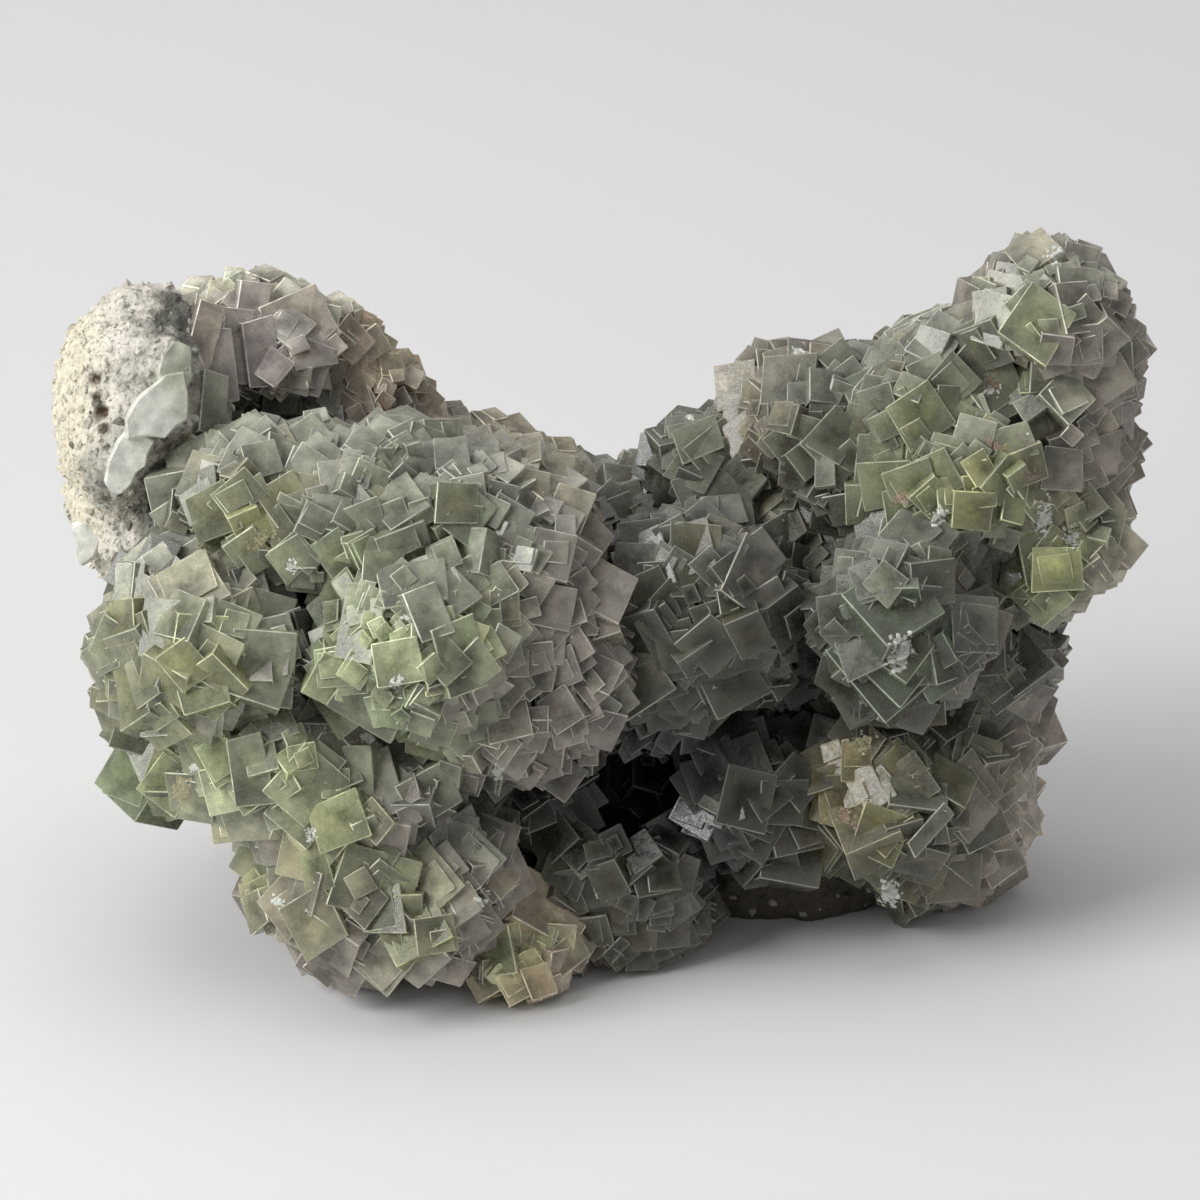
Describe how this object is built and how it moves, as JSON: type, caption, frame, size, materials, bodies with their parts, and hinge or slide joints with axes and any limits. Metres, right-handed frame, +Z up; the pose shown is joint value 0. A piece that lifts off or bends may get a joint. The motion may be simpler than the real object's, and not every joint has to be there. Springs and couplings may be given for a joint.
{
  "type": "fluorite specimen",
  "caption": "Fluorite hand specimen: winged cluster of rounded lobes made of small grey-green cubic crystals, grown on a pale granular rock that shows at the upper left.",
  "frame": {"origin": "centre of the box round the specimen as seen from above, on the plane it rests on", "axes": "+X along the width, from the bare rock dome to the high wing; +Z up; the side in the picture faces -Y"},
  "size_m": [0.15, 0.0768, 0.0997],
  "materials": {
    "fluorite": "frosted grey-green crystal faces, yellow-green inside the lobes",
    "rock": "matt, granular, cream with dark specks and brown pits"
  },
  "bodies": {
    "root": {"fluorite_crystals": "fluorite", "host_rock": "rock"}
  },
  "joints": []
}
